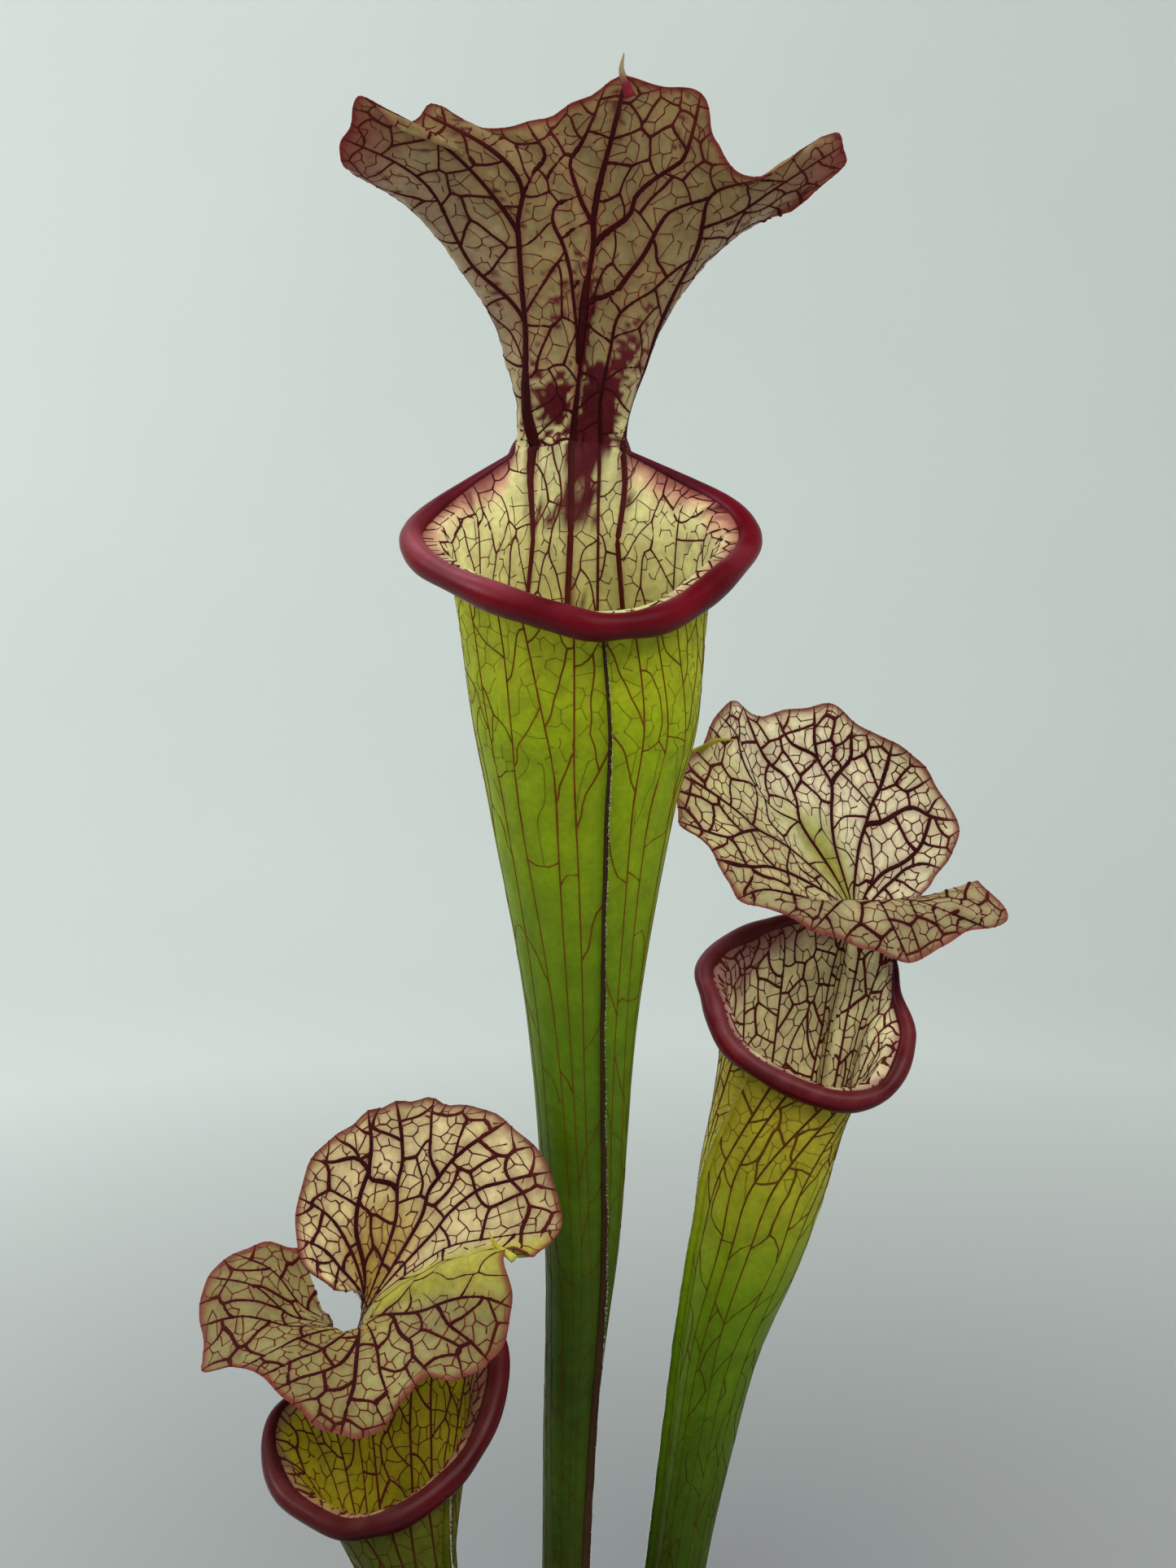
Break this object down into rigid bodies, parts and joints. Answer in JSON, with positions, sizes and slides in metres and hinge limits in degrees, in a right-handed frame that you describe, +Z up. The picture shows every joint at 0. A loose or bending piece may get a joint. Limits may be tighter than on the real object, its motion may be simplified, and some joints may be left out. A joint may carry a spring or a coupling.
{
  "type": "potted pitcher plant",
  "caption": "Carnivorous pitcher plant in a plain round nursery pot: upright hollow trumpet leaves with rolled lips, slender columns and waved, net-veined hoods rise from the peat.",
  "frame": {"origin": "centre of the pot's foot, on the ground", "axes": "+Z up, -Y towards the viewer of the picture, +X to that viewer's right"},
  "size_m": [0.16, 0.16, 0.4885],
  "materials": {
    "pot": "fine satin texture",
    "growing_medium": "damp crumbly fibres",
    "rhizome": "dull bark",
    "pitcher_leaf": "satin leaf skin, glossy at the lip"
  },
  "bodies": {
    "root": {"pot": "pot", "growing_medium": "growing_medium", "rhizome": "rhizome", "pitcher_tall": "pitcher_leaf", "pitcher_right": "pitcher_leaf", "pitcher_left": "pitcher_leaf"}
  },
  "joints": []
}
